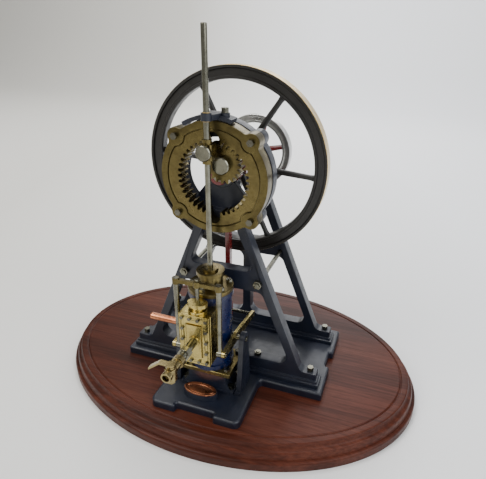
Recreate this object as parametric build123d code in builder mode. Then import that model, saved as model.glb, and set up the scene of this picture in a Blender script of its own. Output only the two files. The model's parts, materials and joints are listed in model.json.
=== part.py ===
from build123d import *
from math import cos, degrees, radians, sin
import os

os.makedirs("parts", exist_ok=True)

# Beam-less engine with a straight-line (hypocycloidal) crank gear on an oval plinth.
# Millimetres.  X is across the engine, Y runs back from the cylinder, Z is up.
# The origin is the centre of the plinth's underside.

# ---------------------------------------------------------------- driving dimensions
MODULE = 1.5
RING_TEETH = 40
PINION_TEETH = 20
RING_PITCH_R = MODULE * RING_TEETH / 2
PINION_PITCH_R = MODULE * PINION_TEETH / 2
CRANK = RING_PITCH_R - PINION_PITCH_R
REST_ANGLE = 57.0            # crank angle in the modelled position, up from +X
AXIS_Z = 233.0               # height of the crankshaft
FIT = 0.04                   # radial clearance of every running fit

CRANK_PIN_X = CRANK * cos(radians(REST_ANGLE))
CRANK_PIN_Z = AXIS_Z + CRANK * sin(radians(REST_ANGLE))
ROD_PIN_Z = AXIS_Z + 2 * CRANK * sin(radians(REST_ANGLE))

PLINTH_TOP = 24.0
BASE_TOP = 32.0
ROD_Y = -65.8                # piston rod, cylinder and rocker pivot
VALVE_Y = -93.0              # valve rod, yoke and side rods

FRAME_THICK = 11.4
FRONT_FRAME_Y = -43.2        # front face of the front frame
REAR_FRAME_Y = 29.1          # front face of the rear frame
SILL_TOP = 50.0
FOOT_TOP = 45.5
POST_HALF = 4.5
BRACE_TOP = 144.5
STAY_X = 37.0
STAY_Z = 134.5
STAY_R = 2.25
FOOT_BOLT_X = 90.7
FOOT_BOLT_FLATS = 5.4
SILL_NUT_X = 36.5
STUD_R = 1.9

HOUSING_R = 47.4
HOUSING_FRONT = -56.5
INSERT_R = 41.5
RING_BOLT_R = 46.5
RING_LUG_R = 7.0
RING_LUG_FILLET = 4.0
RING_BITE_R = 8.0            # hollow in the gear insert round each bolt
RING_BOLT_FLATS = 5.2
RING_BOLT_HEAD = 3.2
JOINT_WIDTH = 1.0            # open joint line round the gear insert
JOINT_DEPTH = 1.5
NOTCH_HALF = 6.0

SHAFT_R = 5.0
CRANK_PIN_R = 3.6
ROD_PIN_R = 2.5
ROD_R = 2.4
LUG_R = 5.0
BUSH_R = 7.8

FLY_R = 86.0
FLY_RIM_R = 74.2
FLY_Y = -2.8
FLY_WIDTH = 12.0
FLY_HUB_R = 12.0
FLY_HUB_WIDTH = 18.4
FLY_SPOKE_ANGLE = 55.5
PULLEY_R = 37.0
PULLEY_RIM_R = 28.5
PULLEY_Y = 54.2
PULLEY_WIDTH = 9.0
PULLEY_SPOKE_ANGLE = 12.0
PULLEY_HUB_R = 9.5
PULLEY_HUB_WIDTH = 12.0
SPOKES = 6

ECC_Y = -18.6
ECC_THROW = 2.0
SHEAVE_R = 9.5
STRAP_R = 14.5
ROCKER_Z = 88.0
BAR_Z = 83.0
BAR_R = 1.75
LEVER_X = (22.0, 25.0)
LEVER_PIN_R = 1.6
SIDE_ROD_X = 19.4
SIDE_ROD_R = 2.5

BORE_R = 12.7
BARREL_R = 18.8
CYL_LOW = 58.0
CYL_TOP = 136.0
COVER_TOP = 140.0
PISTON_DROP = 135.0          # piston centre below the rod pin
COVER_STUD_R = 16.3
COVER_STUDS = 6
COVER_STUD_ANGLE = -33.0

CHEST_HALF = 14.0
CHEST_Z = (78.0, 128.0)
CHEST_FACE = -99.0           # joint between chest and its cover
COVER_FACE = -101.8
PANEL_FACE = -103.0
COCK_Z = 103.0
COCK_Y = -143.0              # axis of the cock's plug
COCK_FRONT = -151.4


# ---------------------------------------------------------------- shared shapes
def across(y):
    """Plane across the engine at depth y, seen from the front: X right, Z up."""
    return Plane.XZ.offset(-y)


def bar_y(x, z, radius, front, rear, mode=Mode.ADD):
    """Round bar or hole along Y, in the part being built."""
    with BuildSketch(across(rear)) as section:
        with Locations((x, z)):
            Circle(radius)
    extrude(section.sketch, amount=rear - front, mode=mode)


def bar_z(x, y, radius, low, high, mode=Mode.ADD):
    """Round bar or hole along Z, in the part being built."""
    with BuildSketch(Plane.XY.offset(low)) as section:
        with Locations((x, y)):
            Circle(radius)
    extrude(section.sketch, amount=high - low, mode=mode)


def bar_x(y, z, radius, left, right, mode=Mode.ADD):
    """Round bar or hole along X, in the part being built."""
    with BuildSketch(Plane.YZ.offset(left)) as section:
        with Locations((y, z)):
            Circle(radius)
    extrude(section.sketch, amount=right - left, mode=mode)


def block(x, y, z, mode=Mode.ADD):
    """Rectangular block between three (low, high) pairs, in the part being built."""
    with BuildSketch(Plane.XY.offset(z[0])) as section:
        with Locations(((x[0] + x[1]) / 2, (y[0] + y[1]) / 2)):
            Rectangle(x[1] - x[0], y[1] - y[0])
    extrude(section.sketch, amount=z[1] - z[0], mode=mode)


def hexagon_z(x, y, flats, low, high):
    """Hexagonal head or nut standing along Z, in the part being built."""
    with BuildSketch(Plane.XY.offset(low)) as section:
        with Locations((x, y)):
            RegularPolygon(flats / 2, 6, major_radius=False)
    extrude(section.sketch, amount=high - low)


def hexagon_y(x, z, flats, front, rear):
    """Hexagonal head or nut along Y, in the part being built."""
    with BuildSketch(across(rear)) as section:
        with Locations((x, z)):
            RegularPolygon(flats / 2, 6, major_radius=False)
    extrude(section.sketch, amount=rear - front)


def polar(radius, angle, centre=(0.0, 0.0)):
    """Point at a radius and an angle in degrees about a centre."""
    turn = radians(angle)
    return (centre[0] + radius * cos(turn), centre[1] + radius * sin(turn))


def tooth_outline(teeth, first_angle, profile, centre):
    """Gear outline; profile holds (radius, half tooth thickness) pairs from root to tip."""
    points = []
    for tooth in range(teeth):
        middle = first_angle + 360 * tooth / teeth
        rising = [polar(r, middle - degrees(h / r), centre) for r, h in profile]
        falling = [polar(r, middle + degrees(h / r), centre) for r, h in reversed(profile)]
        points += rising + falling
    return points


# ---------------------------------------------------------------- plinth and base
PLINTH_A = 193.5
PLINTH_B = 135.0
# Each course of the moulded edge: inset from the foot, bottom, top, rounding of its top edge.
PLINTH_COURSES = (
    (0.0, 0.0, 9.5, 1.4), (2.6, 9.5, 12.5, 0.8), (4.0, 12.5, 21.5, 4.0), (8.6, 21.5, PLINTH_TOP, 1.0))
GROOVE_INSET = 15.0
GROOVE_WIDTH = 2.4
GROOVE_DEPTH = 1.2

with BuildPart() as plinth:
    for inset, low, high, rounding in PLINTH_COURSES:
        with BuildSketch(Plane.XY.offset(low)):
            Ellipse(PLINTH_A - inset, PLINTH_B - inset)
        extrude(amount=high - low)
        fillet(plinth.edges().group_by(Axis.Z)[-1], rounding)
    with BuildSketch(Plane.XY.offset(PLINTH_TOP)):
        Ellipse(PLINTH_A - GROOVE_INSET, PLINTH_B - GROOVE_INSET)
        Ellipse(
            PLINTH_A - GROOVE_INSET - GROOVE_WIDTH, PLINTH_B - GROOVE_INSET - GROOVE_WIDTH,
            mode=Mode.SUBTRACT)
    extrude(amount=-GROOVE_DEPTH, mode=Mode.SUBTRACT)

plinth.part.label = "plinth"
export_step(plinth.part, "parts/plinth.step")

BASE_HALF_X = 105.5
BASE_BACK = 54.9
BASE_FRONT = -52.4
STEM_HALF_X = 44.0
STEM_FRONT = -112.0
PAD_CENTRE = (-2.0, -91.0)
PAD_TOP = 38.4
EAR_GAP_HALF = 19.0
EAR_LENGTH = 5.0
SIDE_NOTCH_DEPTH = 4.5
SIDE_NOTCH_HALF = 11.5
SIDE_NOTCH_Y = 1.5
frame_middles = (FRONT_FRAME_Y + FRAME_THICK / 2, REAR_FRAME_Y + FRAME_THICK / 2)
base_bolts = [(x, y) for x in (-FOOT_BOLT_X, FOOT_BOLT_X) for y in frame_middles]
base_studs = [(x, y) for x in (-SILL_NUT_X, SILL_NUT_X) for y in frame_middles]


def corners_at(sketch, distance, y):
    """The two corners of a sketch at plus and minus a distance across, at depth y."""
    return sketch.vertices().filter_by(lambda v: abs(abs(v.X) - distance) + abs(v.Y - y) < 0.01)


with BuildPart() as baseplate:
    with BuildSketch(Plane.XY.offset(PLINTH_TOP)) as base_outline:
        with Locations((0, (BASE_BACK + BASE_FRONT) / 2)):
            Rectangle(2 * BASE_HALF_X, BASE_BACK - BASE_FRONT)
        with Locations((0, (BASE_FRONT + STEM_FRONT) / 2)):
            Rectangle(2 * STEM_HALF_X, BASE_FRONT - STEM_FRONT)
        with Locations((-BASE_HALF_X, SIDE_NOTCH_Y), (BASE_HALF_X, SIDE_NOTCH_Y)):
            Rectangle(2 * SIDE_NOTCH_DEPTH, 2 * SIDE_NOTCH_HALF, mode=Mode.SUBTRACT)
        with Locations((0, STEM_FRONT)):
            Rectangle(2 * EAR_GAP_HALF, 2 * EAR_LENGTH, mode=Mode.SUBTRACT)
        fillet(corners_at(base_outline, STEM_HALF_X, STEM_FRONT), 6)
        fillet(corners_at(base_outline, STEM_HALF_X, BASE_FRONT), 4)
        for y in (BASE_FRONT, SIDE_NOTCH_Y - SIDE_NOTCH_HALF, SIDE_NOTCH_Y + SIDE_NOTCH_HALF, BASE_BACK):
            fillet(corners_at(base_outline, BASE_HALF_X, y), 2)
        for y in (SIDE_NOTCH_Y - SIDE_NOTCH_HALF, SIDE_NOTCH_Y + SIDE_NOTCH_HALF):
            fillet(corners_at(base_outline, BASE_HALF_X - SIDE_NOTCH_DEPTH, y), 2)
        for y in (STEM_FRONT, STEM_FRONT + EAR_LENGTH):
            fillet(corners_at(base_outline, EAR_GAP_HALF, y), 2)
    extrude(amount=BASE_TOP - PLINTH_TOP)
    fillet(baseplate.edges().group_by(Axis.Z)[-1], 2.2)
    with BuildSketch(Plane.XY.offset(BASE_TOP - 1)):
        with Locations(PAD_CENTRE):
            Ellipse(17.3, 8.1)
    extrude(amount=PAD_TOP - BASE_TOP + 1)
    with BuildSketch(Plane.XY.offset(PLINTH_TOP)):
        with Locations(*base_bolts, *base_studs):
            Circle(STUD_R)
    extrude(amount=BASE_TOP - PLINTH_TOP, mode=Mode.SUBTRACT)

baseplate.part.label = "baseplate"
export_step(baseplate.part, "parts/baseplate.step")

with BuildPart() as name_plate:
    with BuildSketch(Plane.XY.offset(PAD_TOP)):
        with Locations(PAD_CENTRE):
            Ellipse(16.0, 7.75)
    extrude(amount=1.5)
    fillet(name_plate.edges().group_by(Axis.Z)[-1], 0.5)

name_plate.part.label = "name_plate"
export_step(name_plate.part, "parts/name_plate.step")


# ---------------------------------------------------------------- A-frames
def leg_outer(z):
    return 100.14 - 0.406 * z


def leg_inner(z):
    return 91.79 - 0.412 * z


def frame_casting(front_y, brace_low, leg_top):
    """Legs, sill, brace and centre post of one A-frame, without its head."""
    rear_y = front_y + FRAME_THICK
    middle_y = front_y + FRAME_THICK / 2
    with BuildPart() as casting:
        with BuildSketch(across(rear_y)) as outline:
            with BuildLine():
                Polyline(
                    (leg_outer(40), 40), (leg_outer(leg_top), leg_top),
                    (-leg_outer(leg_top), leg_top), (-leg_outer(40), 40), close=True)
            make_face()
            with Locations((0, (BASE_TOP + FOOT_TOP) / 2)):
                Rectangle(2 * 97.4, FOOT_TOP - BASE_TOP)
            fillet(outline.vertices().filter_by(
                lambda v: abs(abs(v.X) - leg_outer(FOOT_TOP)) < 0.01 and abs(v.Y - FOOT_TOP) < 0.01), 6)
        extrude(amount=FRAME_THICK)
        with BuildSketch(across(rear_y)) as window:
            with BuildLine():
                Polyline(
                    (POST_HALF, SILL_TOP), (leg_inner(SILL_TOP), SILL_TOP),
                    (leg_inner(brace_low), brace_low), (POST_HALF, brace_low), close=True)
            make_face()
            fillet(window.vertices().sort_by(Axis.X)[1:], 8)
            fillet(window.vertices().group_by(Axis.X)[0].sort_by(Axis.Y)[0:1], 11)
            mirror(about=Plane.YZ)
        extrude(amount=FRAME_THICK, mode=Mode.SUBTRACT)
        with BuildSketch(across(rear_y)) as upper_window:
            with BuildLine():
                Polyline(
                    (-leg_inner(BRACE_TOP), BRACE_TOP), (leg_inner(BRACE_TOP), BRACE_TOP),
                    (leg_inner(206), 206), (-leg_inner(206), 206), close=True)
            make_face()
            fillet(upper_window.vertices(), 5)
        extrude(amount=FRAME_THICK, mode=Mode.SUBTRACT)
        block((-100.6, 100.6), (front_y - 3.5, rear_y + 3.5), (BASE_TOP, BASE_TOP + 4))
        block((-99.0, 99.0), (front_y - 1.8, rear_y + 1.8), (BASE_TOP + 4, BASE_TOP + 6.5))
        for x in (-STAY_X, STAY_X):
            bar_y(x, STAY_Z, STAY_R, front_y, rear_y, Mode.SUBTRACT)
        for x in (-FOOT_BOLT_X, FOOT_BOLT_X, -SILL_NUT_X, SILL_NUT_X):
            bar_z(x, middle_y, STUD_R, BASE_TOP, SILL_TOP, Mode.SUBTRACT)
    return casting


RING_BOLT_ANGLES = (45, 135, 225, 315)
ring_bolts_at = [polar(RING_BOLT_R, angle, (0, AXIS_Z)) for angle in RING_BOLT_ANGLES]
FRONT_FRAME_REAR = FRONT_FRAME_Y + FRAME_THICK
REAR_FRAME_REAR = REAR_FRAME_Y + FRAME_THICK
WEB_THICK = 5.4

front_legs = frame_casting(FRONT_FRAME_Y, 125.0, 212.0)

with BuildPart() as front_frame:
    add(front_legs.part)
    with BuildSketch(across(FRONT_FRAME_REAR)):
        with Locations((0, AXIS_Z)):
            Circle(48.0)
        with Locations(*ring_bolts_at):
            Circle(RING_LUG_R)
    extrude(amount=FRAME_THICK)
    bar_y(0, AXIS_Z, 32.0, FRONT_FRAME_Y, FRONT_FRAME_REAR, Mode.SUBTRACT)
    with BuildSketch(across(FRONT_FRAME_REAR)):
        with BuildLine():
            Polyline(
                (-26, 199), (26, 199), (22.5, 213), (12.0, 226), (-12.0, 226), (-22.5, 213),
                close=True)
        make_face()
    extrude(amount=WEB_THICK)
    bar_y(0, AXIS_Z, 12.5, -38.5, -29.0)
    bar_y(0, AXIS_Z, BUSH_R, -38.5, -29.0, Mode.SUBTRACT)
    with BuildSketch(across(FRONT_FRAME_REAR)):
        with Locations(*ring_bolts_at):
            Circle(STUD_R)
    extrude(amount=FRAME_THICK, mode=Mode.SUBTRACT)

front_frame.part.label = "front_frame"
export_step(front_frame.part, "parts/front_frame.step")

rear_legs = frame_casting(REAR_FRAME_Y, 128.0, 226.0)

with BuildPart() as rear_frame:
    add(rear_legs.part)
    bar_y(0, AXIS_Z, 15.5, REAR_FRAME_Y - 1.0, REAR_FRAME_REAR + 1.0)
    bar_y(0, AXIS_Z, BUSH_R, REAR_FRAME_Y - 1.0, REAR_FRAME_REAR + 1.0, Mode.SUBTRACT)

rear_frame.part.label = "rear_frame"
export_step(rear_frame.part, "parts/rear_frame.step")


def bearing_bush(front, rear):
    """Plain bearing bush on the crankshaft's axis."""
    with BuildPart() as bush:
        bar_y(0, AXIS_Z, BUSH_R, front, rear)
        bar_y(0, AXIS_Z, SHAFT_R + FIT, front, rear, Mode.SUBTRACT)
    return bush


front_bush = bearing_bush(-39.3, -28.4)
front_bush.part.label = "front_bush"
export_step(front_bush.part, "parts/front_bush.step")

rear_bush = bearing_bush(27.2, 42.6)
rear_bush.part.label = "rear_bush"
export_step(rear_bush.part, "parts/rear_bush.step")

NUT_THICK = 4.0

with BuildPart() as stay_rods:
    for x in (-STAY_X, STAY_X):
        bar_y(x, STAY_Z, STAY_R, FRONT_FRAME_Y - NUT_THICK - 1.2, REAR_FRAME_REAR + NUT_THICK + 1.2)

stay_rods.part.label = "stay_rods"
export_step(stay_rods.part, "parts/stay_rods.step")

with BuildPart() as stay_nuts:
    for x in (-STAY_X, STAY_X):
        hexagon_y(x, STAY_Z, 7.5, FRONT_FRAME_Y - NUT_THICK, FRONT_FRAME_Y)
        hexagon_y(x, STAY_Z, 7.5, REAR_FRAME_REAR, REAR_FRAME_REAR + NUT_THICK)
        bar_y(x, STAY_Z, STAY_R, FRONT_FRAME_Y - NUT_THICK, REAR_FRAME_REAR + NUT_THICK, Mode.SUBTRACT)

stay_nuts.part.label = "stay_nuts"
export_step(stay_nuts.part, "parts/stay_nuts.step")

with BuildPart() as foot_bolts:
    for x, y in base_bolts:
        bar_z(x, y, STUD_R, PLINTH_TOP, FOOT_TOP)
        hexagon_z(x, y, FOOT_BOLT_FLATS, FOOT_TOP, FOOT_TOP + NUT_THICK)

foot_bolts.part.label = "foot_bolts"
export_step(foot_bolts.part, "parts/foot_bolts.step")

with BuildPart() as sill_studs:
    for x, y in base_studs:
        bar_z(x, y, STUD_R, PLINTH_TOP, SILL_TOP + NUT_THICK)
        hexagon_z(x, y, 6.3, SILL_TOP, SILL_TOP + 3.2)

sill_studs.part.label = "sill_studs"
export_step(sill_studs.part, "parts/sill_studs.step")

# ---------------------------------------------------------------- fixed ring gear
TOOTH_HALF = 0.2 * MODULE * 3.1416       # half tooth thickness at the pitch circle
FLANK = 0.364                            # tangent of the 20 degree pressure angle
ADDENDUM = 0.8 * MODULE
DEDENDUM = 1.25 * MODULE


def flank_profile(pitch_r, outward):
    """Root, pitch and tip (radius, half thickness) of a straight-flanked tooth."""
    root = (pitch_r - outward * DEDENDUM, TOOTH_HALF + FLANK * DEDENDUM)
    tip = (pitch_r + outward * ADDENDUM, TOOTH_HALF - FLANK * ADDENDUM)
    return [root, (pitch_r, TOOTH_HALF), tip]


with BuildPart() as ring_housing:
    with BuildSketch(across(FRONT_FRAME_Y)) as housing_outline:
        with Locations((0, AXIS_Z)):
            Circle(HOUSING_R)
        with Locations(*ring_bolts_at):
            Circle(RING_LUG_R)
        fillet(housing_outline.vertices(), RING_LUG_FILLET)
    extrude(amount=FRONT_FRAME_Y - HOUSING_FRONT)
    with BuildSketch(across(FRONT_FRAME_Y)):
        with Locations((0, AXIS_Z)):
            Circle(INSERT_R)
        with Locations(*ring_bolts_at):
            Circle(RING_BITE_R, mode=Mode.SUBTRACT)
    extrude(amount=FRONT_FRAME_Y - HOUSING_FRONT, mode=Mode.SUBTRACT)
    for x, z in ring_bolts_at:
        bar_y(x, z, STUD_R, HOUSING_FRONT, FRONT_FRAME_Y, Mode.SUBTRACT)

ring_housing.part.label = "ring_housing"
export_step(ring_housing.part, "parts/ring_housing.step")

with BuildPart() as gear_ring:
    with BuildSketch(across(FRONT_FRAME_Y)):
        with Locations((0, AXIS_Z)):
            Circle(INSERT_R)
        with Locations(*ring_bolts_at):
            Circle(RING_BITE_R, mode=Mode.SUBTRACT)
        with BuildLine():
            ring_pitch = 360 / RING_TEETH
            ring_profile = flank_profile(RING_PITCH_R, -1)
            ring_points = tooth_outline(RING_TEETH, 90 + ring_pitch / 2, ring_profile, (0, AXIS_Z))
            Polyline(*ring_points, close=True)
        make_face(mode=Mode.SUBTRACT)
        for side in (-1, 1):
            with Locations((0, AXIS_Z + side * 24)):
                Rectangle(2 * NOTCH_HALF, 18, mode=Mode.SUBTRACT)
            with Locations((0, AXIS_Z + side * 33)):
                Circle(NOTCH_HALF, mode=Mode.SUBTRACT)
    extrude(amount=FRONT_FRAME_Y - HOUSING_FRONT)
    with BuildSketch(across(HOUSING_FRONT)):
        with Locations((0, AXIS_Z)):
            Circle(INSERT_R)
            Circle(INSERT_R - JOINT_WIDTH, mode=Mode.SUBTRACT)
        with Locations(*ring_bolts_at):
            Circle(RING_BITE_R + JOINT_WIDTH)
        with Locations((0, AXIS_Z)):
            Circle(INSERT_R, mode=Mode.INTERSECT)
    extrude(amount=-JOINT_DEPTH, mode=Mode.SUBTRACT)

gear_ring.part.label = "gear_ring"
export_step(gear_ring.part, "parts/gear_ring.step")

with BuildPart() as ring_bolts:
    for x, z in ring_bolts_at:
        bar_y(x, z, STUD_R, HOUSING_FRONT, FRONT_FRAME_REAR)
        hexagon_y(x, z, RING_BOLT_FLATS, HOUSING_FRONT - RING_BOLT_HEAD, HOUSING_FRONT)

ring_bolts.part.label = "ring_bolts"
export_step(ring_bolts.part, "parts/ring_bolts.step")

# ---------------------------------------------------------------- upper rod guide
SADDLE_IN = 48.3
SADDLE_OUT = 51.6
GUIDE_TOP = 287.5
GUIDE_LOW = 281.6
GUIDE_R = 4.2
GUIDE_SCREW = (9.0, -50.5)

with BuildPart() as rod_guide_bracket:
    with BuildSketch(across(FRONT_FRAME_Y - 0.2)):
        with Locations((0, AXIS_Z)):
            Circle(SADDLE_OUT)
            Circle(SADDLE_IN, mode=Mode.SUBTRACT)
        with BuildLine():
            Polyline((0, AXIS_Z), polar(80, 71, (0, AXIS_Z)), polar(90, 96, (0, AXIS_Z)),
                     polar(80, 121, (0, AXIS_Z)), close=True)
        make_face(mode=Mode.INTERSECT)
    extrude(amount=FRONT_FRAME_Y - HOUSING_FRONT - 0.4)
    with BuildSketch(Plane.XY.offset(GUIDE_LOW)):
        with Locations((0, ROD_Y)):
            Circle(GUIDE_R)
        with BuildLine():
            Polyline(
                (-3.2, ROD_Y), (3.2, ROD_Y), (7, -55), (7, -44.5), (-7, -44.5), (-7, -55),
                close=True)
        make_face()
    extrude(amount=GUIDE_TOP - 1.5 - GUIDE_LOW)
    bar_z(0, ROD_Y, GUIDE_R, GUIDE_LOW, GUIDE_TOP)
    bar_z(*GUIDE_SCREW, 4.0, 280.9, 286.0)
    bar_z(0, ROD_Y, 3.2, GUIDE_LOW, GUIDE_TOP, Mode.SUBTRACT)

rod_guide_bracket.part.label = "rod_guide_bracket"
export_step(rod_guide_bracket.part, "parts/rod_guide_bracket.step")

with BuildPart() as guide_bush:
    bar_z(0, ROD_Y, 3.2, GUIDE_LOW - 0.6, GUIDE_TOP + 0.6)
    bar_z(0, ROD_Y, ROD_R + FIT, GUIDE_LOW - 0.6, GUIDE_TOP + 0.6, Mode.SUBTRACT)

guide_bush.part.label = "guide_bush"
export_step(guide_bush.part, "parts/guide_bush.step")

with BuildPart() as guide_screw:
    hexagon_z(*GUIDE_SCREW, 5.6, 286.0, 290.0)

guide_screw.part.label = "guide_screw"
export_step(guide_screw.part, "parts/guide_screw.step")

# ---------------------------------------------------------------- crankshaft group
WEB_REAR = -39.6
WEB_FRONT = -46.0
PINION_REAR = -46.4
PINION_FRONT = -54.8
CRANK_HEAD_FRONT = -60.5
SHAFT_REAR = 61.0

with BuildPart() as crankshaft:
    bar_y(0, AXIS_Z, SHAFT_R, WEB_FRONT, SHAFT_REAR)
    chamfer(crankshaft.faces().sort_by(Axis.Y)[-1].edges(), 0.8)

crankshaft.part.label = "crankshaft"
export_step(crankshaft.part, "parts/crankshaft.step")

with BuildPart() as crank_web:
    with BuildSketch(across(WEB_REAR)):
        with Locations((0, AXIS_Z)):
            Circle(8.4)
        with Locations((CRANK_PIN_X, CRANK_PIN_Z)):
            Circle(7.0)
        make_hull()
    extrude(amount=WEB_REAR - WEB_FRONT)
    fillet(crank_web.faces().sort_by(Axis.Y)[0].edges(), 0.8)
    bar_y(0, AXIS_Z, SHAFT_R, WEB_FRONT, WEB_REAR, Mode.SUBTRACT)
    bar_y(CRANK_PIN_X, CRANK_PIN_Z, CRANK_PIN_R, WEB_FRONT, WEB_REAR, Mode.SUBTRACT)

crank_web.part.label = "crank_web"
export_step(crank_web.part, "parts/crank_web.step")

with BuildPart() as crank_pin:
    bar_y(CRANK_PIN_X, CRANK_PIN_Z, CRANK_PIN_R, -55.0, WEB_REAR)
    bar_y(CRANK_PIN_X, CRANK_PIN_Z, 7.25, CRANK_HEAD_FRONT, -55.0)
    chamfer(crank_pin.faces().sort_by(Axis.Y)[0].edges(), 0.8)

crank_pin.part.label = "crank_pin"
export_step(crank_pin.part, "parts/crank_pin.step")

LUG_ANGLE = 180 - REST_ANGLE

with BuildPart() as pinion:
    with BuildSketch(across(PINION_REAR)):
        with BuildLine():
            pinion_profile = flank_profile(PINION_PITCH_R, 1)
            pinion_centre = (CRANK_PIN_X, CRANK_PIN_Z)
            Polyline(*tooth_outline(PINION_TEETH, LUG_ANGLE, pinion_profile, pinion_centre), close=True)
        make_face()
        with Locations((CRANK_PIN_X / 2, (CRANK_PIN_Z + ROD_PIN_Z) / 2)):
            SlotCenterToCenter(CRANK, 2 * LUG_R, rotation=LUG_ANGLE)
    extrude(amount=PINION_REAR - PINION_FRONT)
    bar_y(CRANK_PIN_X, CRANK_PIN_Z, CRANK_PIN_R + FIT, PINION_FRONT, PINION_REAR, Mode.SUBTRACT)
    bar_y(0, ROD_PIN_Z, ROD_PIN_R, PINION_FRONT, PINION_REAR, Mode.SUBTRACT)

pinion.part.label = "pinion"
export_step(pinion.part, "parts/pinion.step")

ROD_PIN_FRONT = -75.0
ROD_HEAD_REAR = -71.2
CROSSHEAD_Y = (-70.6, -61.0)
CROSSHEAD_HALF_X = 5.5
CROSSHEAD_HALF_Z = 6.2
CROSSHEAD_BOSS = 9.6         # half height over the two rod bosses
CROSSHEAD_BOSS_R = 4.0
ROD_SETBACK = 3.2            # rods end this far from the middle of the rod pin

with BuildPart() as rod_pin:
    bar_y(0, ROD_PIN_Z, ROD_PIN_R, ROD_HEAD_REAR, PINION_REAR)
    bar_y(0, ROD_PIN_Z, 6.4, ROD_PIN_FRONT, ROD_HEAD_REAR)
    chamfer(rod_pin.faces().sort_by(Axis.Y)[0].edges(), 0.8)

rod_pin.part.label = "rod_pin"
export_step(rod_pin.part, "parts/rod_pin.step")

# ---------------------------------------------------------------- crosshead, rods and piston
PISTON_Z = ROD_PIN_Z - PISTON_DROP
PISTON_HALF = 6.0
RING_HALF = 1.2
RING_GROOVE_R = 11.0

with BuildPart() as crosshead:
    crosshead_z = (ROD_PIN_Z - CROSSHEAD_HALF_Z, ROD_PIN_Z + CROSSHEAD_HALF_Z)
    block((-CROSSHEAD_HALF_X, CROSSHEAD_HALF_X), CROSSHEAD_Y, crosshead_z)
    chamfer(crosshead.edges().filter_by(Axis.Z), 1.0)
    bar_z(0, ROD_Y, CROSSHEAD_BOSS_R, ROD_PIN_Z - CROSSHEAD_BOSS, ROD_PIN_Z + CROSSHEAD_BOSS)
    bar_z(0, ROD_Y, ROD_R, ROD_PIN_Z - CROSSHEAD_BOSS, ROD_PIN_Z - ROD_SETBACK, Mode.SUBTRACT)
    bar_z(0, ROD_Y, ROD_R, ROD_PIN_Z + ROD_SETBACK, ROD_PIN_Z + CROSSHEAD_BOSS, Mode.SUBTRACT)
    bar_y(0, ROD_PIN_Z, ROD_PIN_R + FIT, *CROSSHEAD_Y, Mode.SUBTRACT)

crosshead.part.label = "crosshead"
export_step(crosshead.part, "parts/crosshead.step")

GUIDE_ROD_TOP = 348.7

with BuildPart() as piston_rod:
    bar_z(0, ROD_Y, ROD_R, PISTON_Z - PISTON_HALF, ROD_PIN_Z - ROD_SETBACK)

piston_rod.part.label = "piston_rod"
export_step(piston_rod.part, "parts/piston_rod.step")

with BuildPart() as guide_rod:
    bar_z(0, ROD_Y, ROD_R, ROD_PIN_Z + ROD_SETBACK, GUIDE_ROD_TOP)
    fillet(guide_rod.faces().sort_by(Axis.Z)[-1].edges(), 0.9)

guide_rod.part.label = "guide_rod"
export_step(guide_rod.part, "parts/guide_rod.step")

with BuildPart() as piston:
    bar_z(0, ROD_Y, BORE_R - 0.06, PISTON_Z - PISTON_HALF, PISTON_Z + PISTON_HALF)
    bar_z(0, ROD_Y, ROD_R, PISTON_Z - PISTON_HALF, PISTON_Z + PISTON_HALF, Mode.SUBTRACT)
    with BuildSketch(Plane.XY.offset(PISTON_Z - RING_HALF)):
        with Locations((0, ROD_Y)):
            Circle(BORE_R + 1)
            Circle(RING_GROOVE_R, mode=Mode.SUBTRACT)
    extrude(amount=2 * RING_HALF, mode=Mode.SUBTRACT)

piston.part.label = "piston"
export_step(piston.part, "parts/piston.step")

with BuildPart() as piston_ring:
    ring_z = (PISTON_Z - RING_HALF, PISTON_Z + RING_HALF)
    bar_z(0, ROD_Y, BORE_R - FIT, *ring_z)
    bar_z(0, ROD_Y, RING_GROOVE_R, *ring_z, Mode.SUBTRACT)
    block((RING_GROOVE_R - 1, BORE_R + 1), (ROD_Y - 0.3, ROD_Y + 0.3), ring_z, Mode.SUBTRACT)

piston_ring.part.label = "piston_ring"
export_step(piston_ring.part, "parts/piston_ring.step")

# ---------------------------------------------------------------- pedestal and cylinder
PEDESTAL_X = 25.0
PEDESTAL_TOP = 54.0
SMALL_STUD_R = 1.5
COVER_R = 20.5
COVER_SPIGOT = 1.2
STUD_DEPTH = 9.0
GLAND_SPIGOT_R = 8.0
PEDESTAL_Y = (-85.0, -47.0)
pedestal_corners = [(x, y) for x in (-20.5, 20.5) for y in (-80.5, -51.5)]
pedestal_feet = [(x, y) for x in (-23.0, 23.0) for y in (-76.0, -56.0)]

with BuildPart() as cylinder_pedestal:
    with BuildSketch(Plane.XY.offset(BASE_TOP)) as foot_outline:
        with Locations((0, ROD_Y)):
            Rectangle(54, 34)
        fillet(foot_outline.vertices(), 2)
    extrude(amount=3.2)
    with BuildSketch(Plane.XY.offset(BASE_TOP + 3.2)):
        with Locations((0, ROD_Y)):
            Rectangle(48, 31)
    with BuildSketch(Plane.XY.offset(BASE_TOP + 10)):
        with Locations((0, ROD_Y)):
            Rectangle(38, 29)
    loft()
    block((-19, 19), (ROD_Y - 14.5, ROD_Y + 14.5), (BASE_TOP + 10, PEDESTAL_TOP))
    for x, y in pedestal_feet:
        bar_z(x, y, 3.6, BASE_TOP + 3.2, BASE_TOP + 16, Mode.SUBTRACT)

cylinder_pedestal.part.label = "cylinder_pedestal"
export_step(cylinder_pedestal.part, "parts/cylinder_pedestal.step")

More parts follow.
